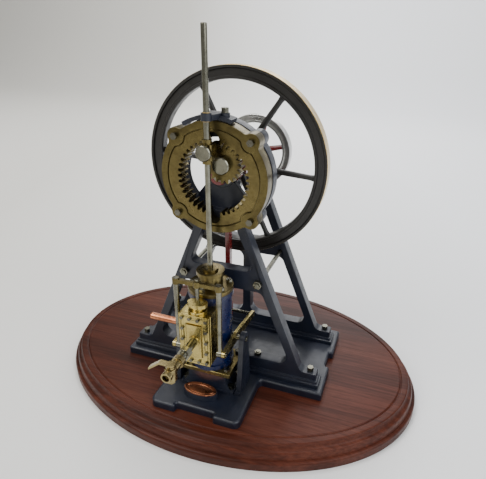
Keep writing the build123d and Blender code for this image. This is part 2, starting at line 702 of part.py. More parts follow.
with BuildPart() as pedestal_plate:
    with BuildSketch(Plane.XY.offset(PEDESTAL_TOP)) as top_outline:
        with Locations((0, (PEDESTAL_Y[0] + PEDESTAL_Y[1]) / 2)):
            Rectangle(2 * PEDESTAL_X, PEDESTAL_Y[1] - PEDESTAL_Y[0])
        fillet(top_outline.vertices(), 1.5)
    extrude(amount=CYL_LOW - PEDESTAL_TOP)
    chamfer(pedestal_plate.edges().group_by(Axis.Z)[-1], 0.5)
    for x, y in pedestal_corners:
        bar_z(x, y, SMALL_STUD_R, PEDESTAL_TOP, CYL_LOW, Mode.SUBTRACT)

pedestal_plate.part.label = "pedestal_plate"
export_step(pedestal_plate.part, "parts/pedestal_plate.step")

with BuildPart() as pedestal_bolts:
    for x, y in pedestal_corners:
        bar_z(x, y, SMALL_STUD_R, PEDESTAL_TOP, CYL_LOW)
        hexagon_z(x, y, 5.0, CYL_LOW, CYL_LOW + 3.2)
    for x, y in pedestal_feet:
        hexagon_z(x, y, 5.6, BASE_TOP + 3.2, BASE_TOP + 6.8)

pedestal_bolts.part.label = "pedestal_bolts"
export_step(pedestal_bolts.part, "parts/pedestal_bolts.step")

cover_stud_angles = [COVER_STUD_ANGLE + 360 * k / COVER_STUDS for k in range(COVER_STUDS)]
cover_studs_at = [polar(COVER_STUD_R, angle, (0, ROD_Y)) for angle in cover_stud_angles]

with BuildPart() as cylinder:
    bar_z(0, ROD_Y, BARREL_R, CYL_LOW, CYL_TOP)
    bar_z(0, ROD_Y, 20.2, CYL_LOW, CYL_LOW + 4.5)
    bar_z(0, ROD_Y, COVER_R, CYL_TOP - 4.5, CYL_TOP)
    bar_z(0, ROD_Y, BORE_R, CYL_LOW + 3, CYL_TOP, Mode.SUBTRACT)
    for x, y in cover_studs_at:
        bar_z(x, y, SMALL_STUD_R, CYL_TOP - STUD_DEPTH, CYL_TOP, Mode.SUBTRACT)

cylinder.part.label = "cylinder"
export_step(cylinder.part, "parts/cylinder.step")

with BuildPart() as cylinder_cover:
    bar_z(0, ROD_Y, COVER_R, CYL_TOP, COVER_TOP)
    fillet(cylinder_cover.edges().group_by(Axis.Z)[-1], 0.8)
    bar_z(0, ROD_Y, BORE_R, CYL_TOP - COVER_SPIGOT, CYL_TOP)
    bar_z(0, ROD_Y, GLAND_SPIGOT_R, CYL_TOP - COVER_SPIGOT, COVER_TOP, Mode.SUBTRACT)
    for x, y in cover_studs_at:
        bar_z(x, y, SMALL_STUD_R, CYL_TOP, COVER_TOP, Mode.SUBTRACT)

cylinder_cover.part.label = "cylinder_cover"
export_step(cylinder_cover.part, "parts/cylinder_cover.step")

GLAND_TOP = 156.0

with BuildPart() as cover_gland:
    bar_z(0, ROD_Y, GLAND_SPIGOT_R, CYL_TOP - COVER_SPIGOT, COVER_TOP)
    bar_z(0, ROD_Y, 11.0, COVER_TOP, GLAND_TOP - 4)
    bar_z(0, ROD_Y, 12.5, GLAND_TOP - 5.5, GLAND_TOP - 2)
    bar_z(0, ROD_Y, 7.0, GLAND_TOP - 2, GLAND_TOP)
    bar_z(0, ROD_Y, ROD_R + FIT, CYL_TOP - COVER_SPIGOT, GLAND_TOP, Mode.SUBTRACT)

cover_gland.part.label = "cover_gland"
export_step(cover_gland.part, "parts/cover_gland.step")

with BuildPart() as cover_nuts:
    for x, y in cover_studs_at:
        bar_z(x, y, SMALL_STUD_R, CYL_TOP - STUD_DEPTH, COVER_TOP + 4.2)
        hexagon_z(x, y, 5.0, COVER_TOP, COVER_TOP + 3.2)

cover_nuts.part.label = "cover_nuts"
export_step(cover_nuts.part, "parts/cover_nuts.step")

# ---------------------------------------------------------------- valve chest and valve
CHEST_BACK = -80.0
CAVITY_X = 9.2
CAVITY_Z = (84.0, 122.0)
CAVITY_BACK = -87.5
CHEST_GLAND_R = 3.5

with BuildPart() as valve_chest:
    block((-CHEST_HALF, CHEST_HALF), (CHEST_FACE, CHEST_BACK), CHEST_Z)
    chamfer(valve_chest.edges().filter_by(Axis.Z), 0.8)
    block((-CAVITY_X, CAVITY_X), (CHEST_FACE, CAVITY_BACK), CAVITY_Z, Mode.SUBTRACT)
    bar_z(0, ROD_Y, BARREL_R, CYL_LOW, CYL_TOP, Mode.SUBTRACT)
    bar_z(0, VALVE_Y, CHEST_GLAND_R, CAVITY_Z[1], CHEST_Z[1], Mode.SUBTRACT)

valve_chest.part.label = "valve_chest"
export_step(valve_chest.part, "parts/valve_chest.step")

CHEST_BOLT_R = 0.9
PANEL_X = 6.8
PANEL_Z = (87.0, 119.0)
PANEL_GROOVE = 0.8
PANEL_GROOVE_DEPTH = 1.0
NECK_FRONT = PANEL_FACE - 1.5
STEAM_BORE_R = 2.2
chest_bolts_at = [(x, z) for x in (-11.0, 11.0) for z in (81.5, 92, 103, 114, 124.5)]
chest_bolts_at += [(x, z) for x in (-3.8, 3.8) for z in (81.5, 124.5)]

with BuildPart() as chest_cover:
    block((-CHEST_HALF, CHEST_HALF), (COVER_FACE, CHEST_FACE), CHEST_Z)
    groove_x = (-PANEL_X - PANEL_GROOVE, PANEL_X + PANEL_GROOVE)
    groove_z = (PANEL_Z[0] - PANEL_GROOVE, PANEL_Z[1] + PANEL_GROOVE)
    block(groove_x, (COVER_FACE, COVER_FACE + PANEL_GROOVE_DEPTH), groove_z, Mode.SUBTRACT)
    block((-PANEL_X, PANEL_X), (PANEL_FACE, COVER_FACE + PANEL_GROOVE_DEPTH), PANEL_Z)
    bar_y(0, COCK_Z, 5.2, NECK_FRONT, PANEL_FACE)
    bar_y(0, COCK_Z, STEAM_BORE_R, NECK_FRONT, CHEST_FACE, Mode.SUBTRACT)
    for x, z in chest_bolts_at:
        bar_y(x, z, CHEST_BOLT_R, COVER_FACE, CHEST_FACE, Mode.SUBTRACT)

chest_cover.part.label = "chest_cover"
export_step(chest_cover.part, "parts/chest_cover.step")

with BuildPart() as chest_bolts:
    for x, z in chest_bolts_at:
        bar_y(x, z, CHEST_BOLT_R, COVER_FACE, CHEST_FACE)
        hexagon_y(x, z, 3.0, COVER_FACE - 1.6, COVER_FACE)

chest_bolts.part.label = "chest_bolts"
export_step(chest_bolts.part, "parts/chest_bolts.step")

VALVE_ROD_R = 1.5

with BuildPart() as chest_gland:
    bar_z(0, VALVE_Y, CHEST_GLAND_R, CAVITY_Z[1], CHEST_Z[1])
    bar_z(0, VALVE_Y, 8.2, CHEST_Z[1], 130.4)
    bar_z(0, VALVE_Y, 5.6, 130.4, 133)
    with BuildSketch(Plane.XY.offset(133)):
        with Locations((0, VALVE_Y)):
            Ellipse(9.0, 6.3)
    extrude(amount=3.5)
    bar_z(0, VALVE_Y, VALVE_ROD_R + FIT, CAVITY_Z[1], 136.5, Mode.SUBTRACT)

chest_gland.part.label = "chest_gland"
export_step(chest_gland.part, "parts/chest_gland.step")

YOKE_Z = (151.0, 156.4)
YOKE_BAR_Z = (152.0, 155.4)
YOKE_BAR_HALF = 1.8
YOKE_BOSS_R = 3.2
SLIDE_Z = (96.0, 110.0)

with BuildPart() as slide_valve:
    block((-6, 6), (-96.8, CAVITY_BACK - 0.1), SLIDE_Z)
    bar_z(0, VALVE_Y, VALVE_ROD_R, *SLIDE_Z, Mode.SUBTRACT)

slide_valve.part.label = "slide_valve"
export_step(slide_valve.part, "parts/slide_valve.step")

with BuildPart() as valve_rod:
    bar_z(0, VALVE_Y, VALVE_ROD_R, 92, YOKE_Z[1] + 2)

valve_rod.part.label = "valve_rod"
export_step(valve_rod.part, "parts/valve_rod.step")

with BuildPart() as valve_yoke:
    block((-19, 19), (VALVE_Y - YOKE_BAR_HALF, VALVE_Y + YOKE_BAR_HALF), YOKE_BAR_Z)
    for x in (-SIDE_ROD_X, 0, SIDE_ROD_X):
        bar_z(x, VALVE_Y, YOKE_BOSS_R, *YOKE_Z)
    for x in (-SIDE_ROD_X, SIDE_ROD_X):
        bar_z(x, VALVE_Y, SIDE_ROD_R, *YOKE_Z, Mode.SUBTRACT)
    bar_z(0, VALVE_Y, VALVE_ROD_R, *YOKE_Z, Mode.SUBTRACT)

valve_yoke.part.label = "valve_yoke"
export_step(valve_yoke.part, "parts/valve_yoke.step")

ROD_EYE_X = (17.3, 21.7)
ROD_EYE_R = 3.4
PIN_HEAD_X = (25.2, 26.2)
PIN_HEAD_R = 2.1

with BuildPart() as side_rods:
    for side in (-1, 1):
        bar_z(side * SIDE_ROD_X, VALVE_Y, SIDE_ROD_R, 91, YOKE_Z[1])
        eye_x = sorted(side * x for x in ROD_EYE_X)
        bar_x(VALVE_Y, ROCKER_Z, ROD_EYE_R, *eye_x)
        bar_x(VALVE_Y, ROCKER_Z, LEVER_PIN_R, *eye_x, Mode.SUBTRACT)

side_rods.part.label = "side_rods"
export_step(side_rods.part, "parts/side_rods.step")

with BuildPart() as side_rod_pins:
    for side in (-1, 1):
        bar_x(VALVE_Y, ROCKER_Z, LEVER_PIN_R, *sorted((side * ROD_EYE_X[0], side * PIN_HEAD_X[1])))
        bar_x(VALVE_Y, ROCKER_Z, PIN_HEAD_R, *sorted(side * x for x in PIN_HEAD_X))

side_rod_pins.part.label = "side_rod_pins"
export_step(side_rod_pins.part, "parts/side_rod_pins.step")

# ---------------------------------------------------------------- rocker
PIVOT_R = 2.5
PIN_CLEAR = 0.08
LEVER_THICK = LEVER_X[1] - LEVER_X[0]
LEVER_EYE_R = 3.4
LEVER_BOSS_R = 5.0

with BuildPart() as rocker_levers:
    for left in (LEVER_X[0], -LEVER_X[1]):
        for far_end in ((VALVE_Y, ROCKER_Z), (ECC_Y, BAR_Z)):
            with BuildSketch(Plane.YZ.offset(left)):
                with Locations(far_end):
                    Circle(LEVER_EYE_R)
                with Locations((ROD_Y, ROCKER_Z)):
                    Circle(LEVER_BOSS_R)
                make_hull()
            extrude(amount=LEVER_THICK)
        bar_x(ROD_Y, ROCKER_Z, PIVOT_R + FIT, left, left + LEVER_THICK, Mode.SUBTRACT)
        bar_x(VALVE_Y, ROCKER_Z, LEVER_PIN_R + PIN_CLEAR, left, left + LEVER_THICK, Mode.SUBTRACT)
        bar_x(ECC_Y, BAR_Z, BAR_R, left, left + LEVER_THICK, Mode.SUBTRACT)

rocker_levers.part.label = "rocker_levers"
export_step(rocker_levers.part, "parts/rocker_levers.step")

with BuildPart() as rocker_bar:
    bar_x(ECC_Y, BAR_Z, BAR_R, -LEVER_X[1], LEVER_X[1])

rocker_bar.part.label = "rocker_bar"
export_step(rocker_bar.part, "parts/rocker_bar.step")

BRACKET_X = (29.0, 34.0)

with BuildPart() as rocker_brackets:
    for left in (BRACKET_X[0], -BRACKET_X[1]):
        with BuildSketch(Plane.YZ.offset(left)) as upright:
            with Locations((ROD_Y, ROCKER_Z)):
                Circle(6.5)
            with Locations((ROD_Y, BASE_TOP + 2)):
                Rectangle(26, 4)
            make_hull()
        extrude(amount=BRACKET_X[1] - BRACKET_X[0])
        bar_x(ROD_Y, ROCKER_Z, PIVOT_R, left, left + 5, Mode.SUBTRACT)
    for left in (BRACKET_X[0] - 1, -BRACKET_X[1] - 5):
        block((left, left + 6), (ROD_Y - 15, ROD_Y + 15), (BASE_TOP, BASE_TOP + 3.2))

rocker_brackets.part.label = "rocker_brackets"
export_step(rocker_brackets.part, "parts/rocker_brackets.step")

with BuildPart() as rocker_pins:
    for side in (-1, 1):
        bar_x(ROD_Y, ROCKER_Z, PIVOT_R, *sorted((side * 20.4, side * 35.2)))
        bar_x(ROD_Y, ROCKER_Z, 4.0, *sorted((side * 20.4, side * 21.8)))

rocker_pins.part.label = "rocker_pins"
export_step(rocker_pins.part, "parts/rocker_pins.step")

# ---------------------------------------------------------------- eccentric
ECC_X = -ECC_THROW
ECC_REAR = ECC_Y + 3.4
ECC_FRONT = ECC_Y - 3.4
STRAP_Y = (ECC_Y - 3.0, ECC_Y + 3.0)
ECC_ROD_HALF = 2.5
SLOT_HALF_Y = 2.3
SLOT_TRAVEL = 4.2

with BuildPart() as eccentric_sheave:
    bar_y(ECC_X, AXIS_Z, SHEAVE_R, ECC_FRONT, ECC_REAR)
    bar_y(0, AXIS_Z, 8.0, ECC_REAR, ECC_REAR + 2.4)
    bar_y(0, AXIS_Z, SHAFT_R, ECC_FRONT, ECC_REAR + 2.4, Mode.SUBTRACT)

eccentric_sheave.part.label = "eccentric_sheave"
export_step(eccentric_sheave.part, "parts/eccentric_sheave.step")

with BuildPart() as eccentric_strap:
    bar_y(ECC_X, AXIS_Z, STRAP_R, *STRAP_Y)
    block((ECC_X - 18.5, ECC_X + 18.5), STRAP_Y, (AXIS_Z - 3.2, AXIS_Z + 3.2))
    bar_y(ECC_X, AXIS_Z, SHEAVE_R + FIT, *STRAP_Y, Mode.SUBTRACT)

eccentric_strap.part.label = "eccentric_strap"
export_step(eccentric_strap.part, "parts/eccentric_strap.step")

with BuildPart() as eccentric_rod:
    block((ECC_X - ECC_ROD_HALF, ECC_X + ECC_ROD_HALF), STRAP_Y, (BAR_Z + 6, AXIS_Z - 12))
    bar_y(ECC_X, AXIS_Z, STRAP_R, ECC_Y - 4, ECC_Y + 4, Mode.SUBTRACT)
    with BuildSketch(Plane.YZ.offset(ECC_X - ECC_ROD_HALF)):
        with Locations((ECC_Y, BAR_Z)):
            SlotCenterToCenter(2 * SLOT_TRAVEL, 9.6, rotation=90)
    extrude(amount=2 * ECC_ROD_HALF)
    with BuildSketch(Plane.YZ.offset(ECC_X - ECC_ROD_HALF)):
        with Locations((ECC_Y, BAR_Z)):
            SlotCenterToCenter(2 * SLOT_TRAVEL, 2 * SLOT_HALF_Y, rotation=90)
    extrude(amount=2 * ECC_ROD_HALF, mode=Mode.SUBTRACT)

eccentric_rod.part.label = "eccentric_rod"
export_step(eccentric_rod.part, "parts/eccentric_rod.step")


# ---------------------------------------------------------------- flywheel and drive pulley
def wheel(y, width, radii, hub_width, first_spoke, spoke_halves, thick):
    """Spoked wheel on the crankshaft; radii are outer, inner rim and hub, spokes taper outwards."""
    centre = (0, AXIS_Z)
    outer, inner, hub = radii
    with BuildPart() as casting:
        with BuildSketch(across(y + width / 2)):
            with Locations(centre):
                Circle(outer)
                Circle(inner, mode=Mode.SUBTRACT)
        extrude(amount=width)
        with BuildSketch(across(y + thick / 2)):
            for spoke in range(SPOKES):
                angle = first_spoke + 360 * spoke / SPOKES
                foot = polar(hub - 2, angle, centre)
                head = polar((inner + outer) / 2, angle, centre)
                foot_sides = [polar(spoke_halves[0], angle + turn, foot) for turn in (90, -90)]
                head_sides = [polar(spoke_halves[1], angle + turn, head) for turn in (-90, 90)]
                with BuildLine():
                    Polyline(*foot_sides, *head_sides, close=True)
                make_face()
        extrude(amount=thick)
        bar_y(0, AXIS_Z, hub, y - hub_width / 2, y + hub_width / 2)
        bar_y(0, AXIS_Z, SHAFT_R, y - hub_width / 2, y + hub_width / 2, Mode.SUBTRACT)
    return casting


fly_radii = (FLY_R, FLY_RIM_R, FLY_HUB_R)
flywheel = wheel(FLY_Y, FLY_WIDTH, fly_radii, FLY_HUB_WIDTH, FLY_SPOKE_ANGLE, (3.4, 2.3), 4.6)
flywheel.part.label = "flywheel"
export_step(flywheel.part, "parts/flywheel.step")

pulley_radii = (PULLEY_R, PULLEY_RIM_R, PULLEY_HUB_R)
drive_pulley = wheel(
    PULLEY_Y, PULLEY_WIDTH, pulley_radii, PULLEY_HUB_WIDTH, PULLEY_SPOKE_ANGLE, (3.2, 2.4), 4.0)
drive_pulley.part.label = "drive_pulley"
export_step(drive_pulley.part, "parts/drive_pulley.step")

SCREW_HALF = 1.7
SCREW_STAND = 3.4            # how far each square-headed screw stands out of its hub

with BuildPart() as hub_screws:
    for y, hub in ((FLY_Y - 7.0, FLY_HUB_R), (PULLEY_Y - 4.2, PULLEY_HUB_R)):
        screw_y = (y - SCREW_HALF, y + SCREW_HALF)
        block((-SCREW_HALF, SCREW_HALF), screw_y, (AXIS_Z + hub - 0.3, AXIS_Z + hub + SCREW_STAND))
        bar_y(0, AXIS_Z, hub, *screw_y, Mode.SUBTRACT)

hub_screws.part.label = "hub_screws"
export_step(hub_screws.part, "parts/hub_screws.step")

# ---------------------------------------------------------------- steam pipes and cock
PIPE_Y = -86.5
PIPE_R = 3.15
PIPE_BORE_R = 2.3
PIPE_Z = 107.0
PIPE_END = -50.0

with BuildPart() as exhaust_pipe:
    bar_x(PIPE_Y, PIPE_Z, PIPE_R, PIPE_END, -CHEST_HALF)
    bar_x(PIPE_Y, PIPE_Z, PIPE_BORE_R, PIPE_END, -CHEST_HALF, Mode.SUBTRACT)

exhaust_pipe.part.label = "exhaust_pipe"
export_step(exhaust_pipe.part, "parts/exhaust_pipe.step")

UNION_FRONT = -128.0

with BuildPart() as steam_union:
    bar_y(0, COCK_Z, 3.7, UNION_FRONT, NECK_FRONT)
    hexagon_y(0, COCK_Z, 10.0, -122.5, -116.5)
    bar_y(0, COCK_Z, STEAM_BORE_R, UNION_FRONT, NECK_FRONT, Mode.SUBTRACT)

steam_union.part.label = "steam_union"
export_step(steam_union.part, "parts/steam_union.step")

PLUG_R = 2.9
COCK_BARREL_R = 4.8
BARREL_LOW = 96.0
BARREL_HIGH = 107.0
SOCKET_R = 3.0
SOCKET_DEPTH = 3.5
CAP_LOW = 107.3
CAP_TOP = 109.0
LEVER_TOP = 110.6
LEVER_HALF = 2.2

with BuildPart() as cock_body:
    bar_y(0, COCK_Z, 3.8, COCK_FRONT, UNION_FRONT)
    bar_y(0, COCK_Z, 5.2, -132.5, UNION_FRONT)
    bar_y(0, COCK_Z, 4.4, COCK_FRONT, COCK_FRONT + 3)
    bar_z(0, COCK_Y, COCK_BARREL_R, BARREL_LOW, BARREL_HIGH)
    bar_y(0, COCK_Z, STEAM_BORE_R, COCK_FRONT, UNION_FRONT, Mode.SUBTRACT)
    bar_y(0, COCK_Z, SOCKET_R, COCK_FRONT, COCK_FRONT + SOCKET_DEPTH, Mode.SUBTRACT)
    bar_z(0, COCK_Y, PLUG_R + FIT, BARREL_LOW, BARREL_HIGH, Mode.SUBTRACT)

cock_body.part.label = "cock_body"
export_step(cock_body.part, "parts/cock_body.step")

with BuildPart() as cock_plug:
    bar_z(0, COCK_Y, PLUG_R, BARREL_LOW, CAP_TOP)
    bar_x(COCK_Y, COCK_Z, 1.9, -6, 6, Mode.SUBTRACT)
    bar_z(0, COCK_Y, 4.0, CAP_LOW, CAP_TOP)

cock_plug.part.label = "cock_plug"
export_step(cock_plug.part, "parts/cock_plug.step")

with BuildPart() as cock_lever:
    with BuildSketch(across(COCK_Y + LEVER_HALF)):
        with BuildLine():
            Polyline(
                (2.0, CAP_TOP), (2.0, LEVER_TOP), (-9.4, LEVER_TOP), (-19.0, 103.0),
                (-19.0, 101.0), (-8.9, CAP_TOP), close=True)
        make_face()
    extrude(amount=2 * LEVER_HALF)
    bar_z(0, COCK_Y, 3.8, CAP_TOP, LEVER_TOP)

cock_lever.part.label = "cock_lever"
export_step(cock_lever.part, "parts/cock_lever.step")

with BuildPart() as plug_nut:
    hexagon_z(0, COCK_Y, 5.4, BARREL_LOW - 3.2, BARREL_LOW - 0.1)
    bar_z(0, COCK_Y, 1.5, BARREL_LOW - 0.1, BARREL_LOW)

plug_nut.part.label = "plug_nut"
export_step(plug_nut.part, "parts/plug_nut.step")
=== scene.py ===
import bpy
import json
from math import cos, pi, radians, sin
from mathutils import Matrix, Vector


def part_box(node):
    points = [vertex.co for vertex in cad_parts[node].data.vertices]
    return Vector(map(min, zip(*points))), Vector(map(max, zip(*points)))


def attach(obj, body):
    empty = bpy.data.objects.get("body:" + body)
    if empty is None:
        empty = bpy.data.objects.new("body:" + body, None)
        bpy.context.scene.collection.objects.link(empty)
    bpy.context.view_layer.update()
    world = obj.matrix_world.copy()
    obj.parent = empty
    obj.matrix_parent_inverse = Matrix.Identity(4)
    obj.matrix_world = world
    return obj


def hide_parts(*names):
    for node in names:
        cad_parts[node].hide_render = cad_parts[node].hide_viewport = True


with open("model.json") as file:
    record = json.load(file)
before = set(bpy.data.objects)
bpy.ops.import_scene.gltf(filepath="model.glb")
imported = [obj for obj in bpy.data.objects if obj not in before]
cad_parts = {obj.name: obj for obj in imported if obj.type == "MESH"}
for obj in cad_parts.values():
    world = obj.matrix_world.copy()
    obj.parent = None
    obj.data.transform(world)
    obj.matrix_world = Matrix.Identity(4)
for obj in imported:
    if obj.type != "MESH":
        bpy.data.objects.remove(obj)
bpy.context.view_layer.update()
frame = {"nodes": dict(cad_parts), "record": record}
nodes = frame["nodes"]
MM = 0.001
SHARP_ANGLE = radians(33)        # edges sharper than this are rounded and stay visible
SPOKES = 6


# ---------------------------------------------------------------- camera, light and floor
def add_camera():
    """Camera at the viewing angle of the reference, with its roll and lens."""
    turn, tilt, roll = radians(18.399), radians(24.73), radians(1.19)
    back = Vector((sin(turn) * cos(tilt), -cos(turn) * cos(tilt), sin(tilt)))
    right = Vector((cos(turn), sin(turn), 0))
    up = back.cross(right)
    rolled_right = right * cos(roll) + up * sin(roll)
    rolled_up = up * cos(roll) - right * sin(roll)
    target = Vector((21.629, -5.0, 159.57)) * MM
    place = target + back * 433.641 * MM
    data = bpy.data.cameras.new("camera")
    data.sensor_width = 36.0
    data.lens = 32.92
    data.shift_x = -0.0274
    data.shift_y = 0.0013
    data.clip_start = 0.01
    camera = bpy.data.objects.new("camera", data)
    axes = Matrix((rolled_right, rolled_up, back)).transposed().to_4x4()
    camera.matrix_world = Matrix.Translation(place) @ axes
    bpy.context.scene.collection.objects.link(camera)
    bpy.context.scene.camera = camera


def add_area_light(name, place, size, watts, colour, aim_at=(0, 0, 0.15)):
    """Soft square light that points at the middle of the engine, or at another place."""
    data = bpy.data.lights.new(name, "AREA")
    data.shape = "SQUARE"
    data.size = size
    data.energy = watts
    data.color = colour
    light = bpy.data.objects.new(name, data)
    place = Vector(place)
    aim = Vector(aim_at) - place
    light.matrix_world = Matrix.Translation(place) @ aim.to_track_quat("-Z", "Y").to_matrix().to_4x4()
    bpy.context.scene.collection.objects.link(light)


def add_world():
    """Even pale light from all round."""
    world = bpy.data.worlds.new("studio")
    world.use_nodes = True
    background = world.node_tree.nodes["Background"]
    background.inputs["Color"].default_value = (0.80, 0.79, 0.76, 1)
    background.inputs["Strength"].default_value = 0.46
    bpy.context.scene.world = world


# ---------------------------------------------------------------- materials
class Shader:
    """A Principled material with helpers for its procedural nodes."""

    def __init__(self, name, **sockets):
        self.material = bpy.data.materials.new(name)
        self.material.use_nodes = True
        self.tree = self.material.node_tree
        self.surface = self.tree.nodes["Principled BSDF"]
        for socket, value in sockets.items():
            self.surface.inputs[socket.replace("_", " ")].default_value = value
        self.place = self.tree.nodes.new("ShaderNodeTexCoord").outputs["Object"]

    def link(self, output, socket):
        self.tree.links.new(output, socket)

    def stretched(self, scale):
        mapping = self.tree.nodes.new("ShaderNodeMapping")
        mapping.inputs["Scale"].default_value = scale
        self.link(self.place, mapping.inputs["Vector"])
        return mapping.outputs["Vector"]

    def noise(self, scale, detail=4.0, stretch=None, rough=0.55, distortion=0.0):
        node = self.tree.nodes.new("ShaderNodeTexNoise")
        node.inputs["Scale"].default_value = scale
        node.inputs["Detail"].default_value = detail
        node.inputs["Roughness"].default_value = rough
        node.inputs["Distortion"].default_value = distortion
        self.link(self.stretched(stretch) if stretch else self.place, node.inputs["Vector"])
        return node.outputs["Fac"]

    def ramp(self, factor, stops):
        """Colour ramp with (position, colour) stops."""
        node = self.tree.nodes.new("ShaderNodeValToRGB")
        elements = node.color_ramp.elements
        while len(elements) < len(stops):
            elements.new(0.5)
        for element, (position, colour) in zip(elements, stops):
            element.position = position
            element.color = (*colour, 1)
        self.link(factor, node.inputs["Fac"])
        return node.outputs["Color"]

    def multiply(self, factor, first, second):
        """First colour multiplied by the second, by a share of factor."""
        node = self.tree.nodes.new("ShaderNodeMix")
        node.data_type = "RGBA"
        node.blend_type = "MULTIPLY"
        node.inputs["Factor"].default_value = factor
        self.link(first, node.inputs["A"])
        self.link(second, node.inputs["B"])
        return node.outputs["Result"]

    def span(self, factor, low, high):
        """The factor's middle range mapped to low..high."""
        node = self.tree.nodes.new("ShaderNodeMapRange")
        node.inputs["From Min"].default_value = 0.3
        node.inputs["From Max"].default_value = 0.7
        node.inputs["To Min"].default_value = low
        node.inputs["To Max"].default_value = high
        self.link(factor, node.inputs["Value"])
        return node.outputs["Result"]

    def colour(self, output):
        self.link(output, self.surface.inputs["Base Color"])

    def roughness(self, output):
        self.link(output, self.surface.inputs["Roughness"])

    def bump(self, height, strength, distance):
        node = self.tree.nodes.new("ShaderNodeBump")
        node.inputs["Strength"].default_value = strength
        node.inputs["Distance"].default_value = distance
        self.link(height, node.inputs["Height"])
        previous = self.surface.inputs["Normal"].links
        if previous:
            self.link(previous[0].from_socket, node.inputs["Normal"])
        self.link(node.outputs["Normal"], self.surface.inputs["Normal"])


def scaled(colour, factor):
    """Colour made lighter or darker by a factor."""
    return tuple(min(1.0, channel * factor) for channel in colour)


def enamel(name, colour, roughness=0.28, coat=0.5, mottle=0.35):
    """Sprayed enamel: slight mottle, dust in the gloss and a faint orange peel."""
    shader = Shader(name, Coat_Weight=coat, Coat_Roughness=0.12, Specular_IOR_Level=0.5)
    patches = shader.noise(38.0, 5.0)
    shader.colour(shader.ramp(patches, [(0.30, scaled(colour, 1 - mottle)), (0.55, colour),
                                        (0.75, scaled(colour, 1 + mottle))]))
    shader.roughness(shader.span(shader.noise(140.0, 6.0), roughness - 0.07, roughness + 0.12))
    shader.bump(shader.noise(650.0, 2.0), 0.12, 0.0002)
    shader.bump(shader.noise(2600.0, 2.0), 0.06, 0.0001)
    return shader.material


def metal(name, colour, tarnish, roughness, tarnished=0.5):
    """Bare metal: tarnish in patches, a fine tool finish and uneven polish."""
    shader = Shader(name, Metallic=1.0)
    patches = shader.noise(55.0, 7.0, rough=0.62, distortion=0.4)
    specks = shader.noise(420.0, 4.0)
    base = shader.ramp(patches, [(tarnished - 0.22, tarnish), (tarnished, scaled(colour, 0.82)),
                                 (tarnished + 0.2, colour)])
    speck_tint = shader.ramp(specks, [(0.3, (0.72, 0.70, 0.66)), (0.55, (1.0, 1.0, 1.0))])
    shader.colour(shader.multiply(0.6, base, speck_tint))
    shader.roughness(shader.span(patches, roughness + 0.14, roughness - 0.04))
    shader.bump(shader.noise(900.0, 3.0), 0.08, 0.0001)
    return shader.material


def mahogany():
    """Varnished mahogany with its grain along X."""
    shader = Shader("mahogany_wood", Coat_Weight=0.04, Coat_Roughness=0.24, Specular_IOR_Level=0.14)
    bands = shader.noise(1.0, 6.0, stretch=(3.0, 34.0, 34.0), rough=0.6, distortion=0.6)
    streaks = shader.noise(1.0, 5.0, stretch=(14.0, 420.0, 420.0), rough=0.6)
    pores = shader.noise(1.0, 3.0, stretch=(110.0, 1900.0, 1900.0), rough=0.5)
    base = shader.ramp(bands, [(0.28, (0.025, 0.0058, 0.0033)), (0.46, (0.058, 0.0140, 0.0074)),
                               (0.60, (0.088, 0.0225, 0.0120)), (0.76, (0.116, 0.0335, 0.0185))])
    streak_tint = shader.ramp(streaks, [(0.32, (0.42, 0.35, 0.31)), (0.62, (1.0, 1.0, 1.0))])
    pore_tint = shader.ramp(pores, [(0.33, (0.50, 0.42, 0.38)), (0.46, (1.0, 1.0, 1.0))])
    grained = shader.multiply(0.75, base, streak_tint)
    shader.colour(shader.multiply(0.6, grained, pore_tint))
    shader.roughness(shader.span(streaks, 0.48, 0.34))
    shader.bump(pores, 0.10, 0.0002)
    shader.bump(streaks, 0.05, 0.0002)
    return shader.material


def backdrop_paper_painted_light():
    """Pale paper with painted light: its colour is brighter and cooler towards the right, standing in for
    the light falling across it.
    """
    shader = Shader("backdrop_paper_painted_light", Roughness=0.9, Specular_IOR_Level=0.1)
    across = shader.tree.nodes.new("ShaderNodeVectorMath")
    across.operation = "DOT_PRODUCT"
    across.inputs[1].default_value = (1.0, 0.325, 0.0)
    shader.link(shader.place, across.inputs[0])
    painted_light_share = shader.tree.nodes.new("ShaderNodeMapRange")
    painted_light_share.inputs["From Min"].default_value = -0.55
    painted_light_share.inputs["From Max"].default_value = 0.45
    shader.link(across.outputs["Value"], painted_light_share.inputs["Value"])
    # Painted light: this colour ramp across the paper stands in for light that falls brighter and cooler on
    # the right.
    shader.colour(shader.ramp(painted_light_share.outputs["Result"], [
        (0.0, (0.625, 0.615, 0.580)), (0.50, (0.80, 0.80, 0.79)), (1.0, (0.890, 0.905, 0.935))]))
    return shader.material


BRASS = (0.62, 0.45, 0.17)
NAVY = (0.0052, 0.0080, 0.0185)
finishes = {
    "mahogany": mahogany(),
    "navy_paint": enamel("navy_enamel", NAVY, 0.42, 0.14),
    "copper": metal("toned_copper", (0.62, 0.25, 0.13), (0.30, 0.10, 0.05), 0.22, 0.45),
    "bush_brass": metal("turned_brass", (0.62, 0.46, 0.20), (0.36, 0.25, 0.10), 0.24),
    "steel": metal("bright_steel", (0.25, 0.245, 0.195), (0.11, 0.105, 0.08), 0.19, 0.50),
    "aged_brass": metal("aged_brass", (0.195, 0.155, 0.062), (0.080, 0.061, 0.027), 0.25, 0.50),
    "bright_brass": metal("polished_brass", (0.56, 0.45, 0.165), (0.27, 0.205, 0.07), 0.20, 0.48),
    "blue_enamel": enamel("royal_blue_enamel", (0.0025, 0.0085, 0.050), 0.28, 0.15, 0.2),
    "red_paint": enamel("dark_red_enamel", (0.155, 0.012, 0.012), 0.24, 0.6, 0.25),
    "flywheel_brass": metal("flywheel_tread_brass", BRASS, (0.34, 0.23, 0.09), 0.22, 0.45),
    "pulley_metal": metal("pulley_rim_metal", (0.66, 0.66, 0.64), (0.42, 0.42, 0.40), 0.26, 0.42),
}


